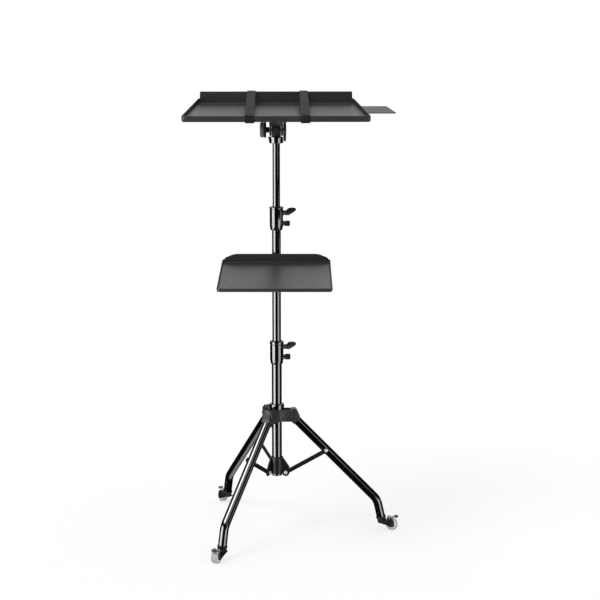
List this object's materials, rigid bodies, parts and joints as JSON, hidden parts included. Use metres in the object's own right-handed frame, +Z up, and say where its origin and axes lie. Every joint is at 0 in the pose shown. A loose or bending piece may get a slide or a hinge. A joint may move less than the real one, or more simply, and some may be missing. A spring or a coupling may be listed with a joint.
{
  "type": "rolling projector stand",
  "caption": "Rolling projector stand: telescoping mast on a folding tripod with braked casters, a strapped tilting top tray, a sliding mouse plate and a lower tray.",
  "frame": {"origin": "middle of the bounding box at floor level, under the casters", "axes": "+Z up along the mast, -Y towards the user's side where the lower tray is, +X towards the clamp levers and the mouse plate"},
  "size_m": [0.4606, 0.5262, 0.9583],
  "materials": {
    "gloss_black": "gloss black enamel",
    "chrome": "bright plated",
    "pedal_grey": "light grey moulding with a black toe",
    "satin_black": "satin black moulding",
    "pale_wheel": "pale translucent wheel, glossy",
    "dark_casting": "dark grey fibre-filled moulding, satin",
    "tray_grey": "fine-textured dark grey powder coat",
    "satin_steel": "satin zinc-plated steel",
    "webbing": "black woven webbing"
  },
  "bodies": {
    "mast_base": {"lower_tube": "gloss_black", "lower_collar": "dark_casting", "spreader_bracket": "dark_casting", "brace_pin_1": "chrome", "brace_pin_2": "chrome", "brace_pin_3": "chrome"},
    "hub": {"leg_hub": "dark_casting", "hub_cap": "satin_black", "leg_pivot_pin_1": "dark_casting", "leg_pivot_pin_2": "dark_casting", "leg_pivot_pin_3": "dark_casting"},
    "leg_1": {"leg_tube_1": "gloss_black", "leg_top_block_1": "dark_casting", "leg_socket_1": "satin_black"},
    "brace_1": {"brace_1": "gloss_black", "brace_rivet_1": "chrome"},
    "caster_1": {"caster_fork_1": "satin_black", "caster_axle_1": "chrome"},
    "wheel_1": {"caster_wheel_1": "pale_wheel"},
    "brake_1": {"caster_brake_1": "pedal_grey"},
    "leg_2": {"leg_tube_2": "gloss_black", "leg_top_block_2": "dark_casting", "leg_socket_2": "satin_black"},
    "brace_2": {"brace_2": "gloss_black", "brace_rivet_2": "chrome"},
    "caster_2": {"caster_fork_2": "satin_black", "caster_axle_2": "chrome"},
    "wheel_2": {"caster_wheel_2": "pale_wheel"},
    "brake_2": {"caster_brake_2": "pedal_grey"},
    "leg_3": {"leg_tube_3": "gloss_black", "leg_top_block_3": "dark_casting", "leg_socket_3": "satin_black"},
    "brace_3": {"brace_3": "gloss_black", "brace_rivet_3": "chrome"},
    "caster_3": {"caster_fork_3": "satin_black", "caster_axle_3": "chrome"},
    "wheel_3": {"caster_wheel_3": "pale_wheel"},
    "brake_3": {"caster_brake_3": "pedal_grey"},
    "lower_lever": {"lower_collar_lever": "satin_black"},
    "lower_screw": {"lower_collar_screw": "satin_black"},
    "middle_mast": {"middle_tube": "gloss_black", "upper_collar": "dark_casting"},
    "upper_lever": {"upper_collar_lever": "satin_black"},
    "upper_screw": {"upper_collar_screw": "satin_black"},
    "upper_mast": {"upper_tube": "gloss_black"},
    "tray_liner": {"tray_clamp_liner": "satin_black"},
    "tray_carrier": {"tray_bracket": "dark_casting", "lower_tray": "tray_grey"},
    "tray_knob": {"tray_clamp_knob": "satin_black"},
    "head": {"head_socket": "dark_casting"},
    "top_tray": {"tilt_block": "dark_casting", "upper_tray": "tray_grey", "mouse_rail_front": "satin_steel", "mouse_rail_rear": "satin_steel", "strap_left": "webbing", "strap_right": "webbing"},
    "tilt_knob": {"tilt_bolt": "satin_black"},
    "tilt_wheel": {"tilt_wheel": "satin_black"},
    "mouse_plate": {"mouse_plate": "tray_grey"}
  },
  "joints": [
    {"name": "hub_slide", "type": "slide", "parent": "mast_base", "child": "hub", "axis": [0, 0, 1], "range_m": [0, 0.06]},
    {"name": "leg_1_fold", "type": "hinge", "parent": "hub", "child": "leg_1", "pos_m": [-0.00384, 0.02838, 0.26], "axis": [0, 1, 0], "range_deg": [0, 21.6]},
    {"name": "brace_1_swing", "type": "hinge", "parent": "mast_base", "child": "brace_1", "pos_m": [-0.01884, 0.02838, 0.1346], "axis": [0, -1, 0], "range_deg": [0, 27.9]},
    {"name": "leg_2_fold", "type": "hinge", "parent": "hub", "child": "leg_2", "pos_m": [-0.05484, -0.00106, 0.26], "axis": [0.866, -0.5, 0], "range_deg": [0, 21.6]},
    {"name": "brace_2_swing", "type": "hinge", "parent": "mast_base", "child": "brace_2", "pos_m": [-0.04734, 0.01193, 0.1346], "axis": [-0.866, 0.5, 0], "range_deg": [0, 27.9]},
    {"name": "leg_3_fold", "type": "hinge", "parent": "hub", "child": "leg_3", "pos_m": [-0.05484, 0.05783, 0.26], "axis": [-0.866, -0.5, 0], "range_deg": [0, 21.6]},
    {"name": "brace_3_swing", "type": "hinge", "parent": "mast_base", "child": "brace_3", "pos_m": [-0.04734, 0.04484, 0.1346], "axis": [0.866, 0.5, 0], "range_deg": [0, 27.9]},
    {"name": "caster_1_swivel", "type": "hinge", "parent": "leg_1", "child": "caster_1", "pos_m": [0.19369, 0.02838, 0], "axis": [0, 0, 1], "continuous": true},
    {"name": "wheel_1_roll", "type": "hinge", "parent": "caster_1", "child": "wheel_1", "pos_m": [0.21619, 0.02838, 0.0125], "axis": [0, 1, 0], "continuous": true},
    {"name": "brake_1_press", "type": "hinge", "parent": "caster_1", "child": "brake_1", "pos_m": [0.21029, 0.02838, 0.0263], "axis": [0, 1, 0], "range_deg": [0, 10]},
    {"name": "caster_2_swivel", "type": "hinge", "parent": "leg_2", "child": "caster_2", "pos_m": [-0.15361, -0.17213, 0], "axis": [0, 0, 1], "continuous": true},
    {"name": "wheel_2_roll", "type": "hinge", "parent": "caster_2", "child": "wheel_2", "pos_m": [-0.16486, -0.19161, 0.0125], "axis": [0.866, -0.5, 0], "continuous": true},
    {"name": "brake_2_press", "type": "hinge", "parent": "caster_2", "child": "brake_2", "pos_m": [-0.16191, -0.18651, 0.0263], "axis": [0.866, -0.5, 0], "range_deg": [0, 10]},
    {"name": "caster_3_swivel", "type": "hinge", "parent": "leg_3", "child": "caster_3", "pos_m": [-0.15361, 0.22889, 0], "axis": [0, 0, 1], "continuous": true},
    {"name": "wheel_3_roll", "type": "hinge", "parent": "caster_3", "child": "wheel_3", "pos_m": [-0.16486, 0.24838, 0.0125], "axis": [-0.866, -0.5, 0], "continuous": true},
    {"name": "brake_3_press", "type": "hinge", "parent": "caster_3", "child": "brake_3", "pos_m": [-0.16191, 0.24327, 0.0263], "axis": [-0.866, -0.5, 0], "range_deg": [0, 10]},
    {"name": "lower_lever_turn", "type": "hinge", "parent": "mast_base", "child": "lower_lever", "pos_m": [-0.03784, 0.02838, 0.4144], "axis": [1, 0, 0], "range_deg": [-150, 30]},
    {"name": "lower_screw_turn", "type": "hinge", "parent": "mast_base", "child": "lower_screw", "pos_m": [-0.03784, 0.02838, 0.392], "axis": [1, 0, 0], "range_deg": [-180, 180]},
    {"name": "mast_middle_slide", "type": "slide", "parent": "mast_base", "child": "middle_mast", "axis": [0, 0, 1], "range_m": [-0.1, 0.11]},
    {"name": "upper_lever_turn", "type": "hinge", "parent": "middle_mast", "child": "upper_lever", "pos_m": [-0.03784, 0.02838, 0.707], "axis": [1, 0, 0], "range_deg": [-150, 30]},
    {"name": "upper_screw_turn", "type": "hinge", "parent": "middle_mast", "child": "upper_screw", "pos_m": [-0.03784, 0.02838, 0.684], "axis": [1, 0, 0], "range_deg": [-180, 180]},
    {"name": "mast_upper_slide", "type": "slide", "parent": "middle_mast", "child": "upper_mast", "axis": [0, 0, 1], "range_m": [-0.12, 0.15]},
    {"name": "lower_tray_slide", "type": "slide", "parent": "middle_mast", "child": "tray_liner", "axis": [0, 0, 1], "range_m": [-0.04, 0.04]},
    {"name": "lower_tray_swivel", "type": "hinge", "parent": "tray_liner", "child": "tray_carrier", "pos_m": [-0.03784, 0.02838, 0], "axis": [0, 0, 1], "range_deg": [-90, 90]},
    {"name": "tray_knob_turn", "type": "hinge", "parent": "tray_carrier", "child": "tray_knob", "pos_m": [-0.03784, 0.02838, 0.58481], "axis": [0, 1, 0], "range_deg": [-180, 180]},
    {"name": "head_swivel", "type": "hinge", "parent": "upper_mast", "child": "head", "pos_m": [-0.03784, 0.02838, 0], "axis": [0, 0, 1], "range_deg": [-180, 180]},
    {"name": "tray_tilt", "type": "hinge", "parent": "head", "child": "top_tray", "pos_m": [-0.03784, 0.02838, 0.884], "axis": [1, 0, 0], "range_deg": [-30, 40]},
    {"name": "tilt_knob_turn", "type": "hinge", "parent": "head", "child": "tilt_knob", "pos_m": [-0.03784, 0.02838, 0.884], "axis": [1, 0, 0], "range_deg": [-180, 180]},
    {"name": "tilt_wheel_turn", "type": "hinge", "parent": "head", "child": "tilt_wheel", "pos_m": [-0.03784, 0.02838, 0.884], "axis": [1, 0, 0], "range_deg": [-180, 180]},
    {"name": "mouse_plate_slide", "type": "slide", "parent": "top_tray", "child": "mouse_plate", "axis": [1, 0, 0], "range_m": [-0.06, 0.02]}
  ],
  "couplings": [
    {"joint": "leg_1_fold", "follows": "hub_slide", "rad_per_m": 6.235},
    {"joint": "brace_1_swing", "follows": "hub_slide", "rad_per_m": 8.068},
    {"joint": "leg_2_fold", "follows": "hub_slide", "rad_per_m": 6.235},
    {"joint": "brace_2_swing", "follows": "hub_slide", "rad_per_m": 8.068},
    {"joint": "leg_3_fold", "follows": "hub_slide", "rad_per_m": 6.235},
    {"joint": "brace_3_swing", "follows": "hub_slide", "rad_per_m": 8.068}
  ]
}
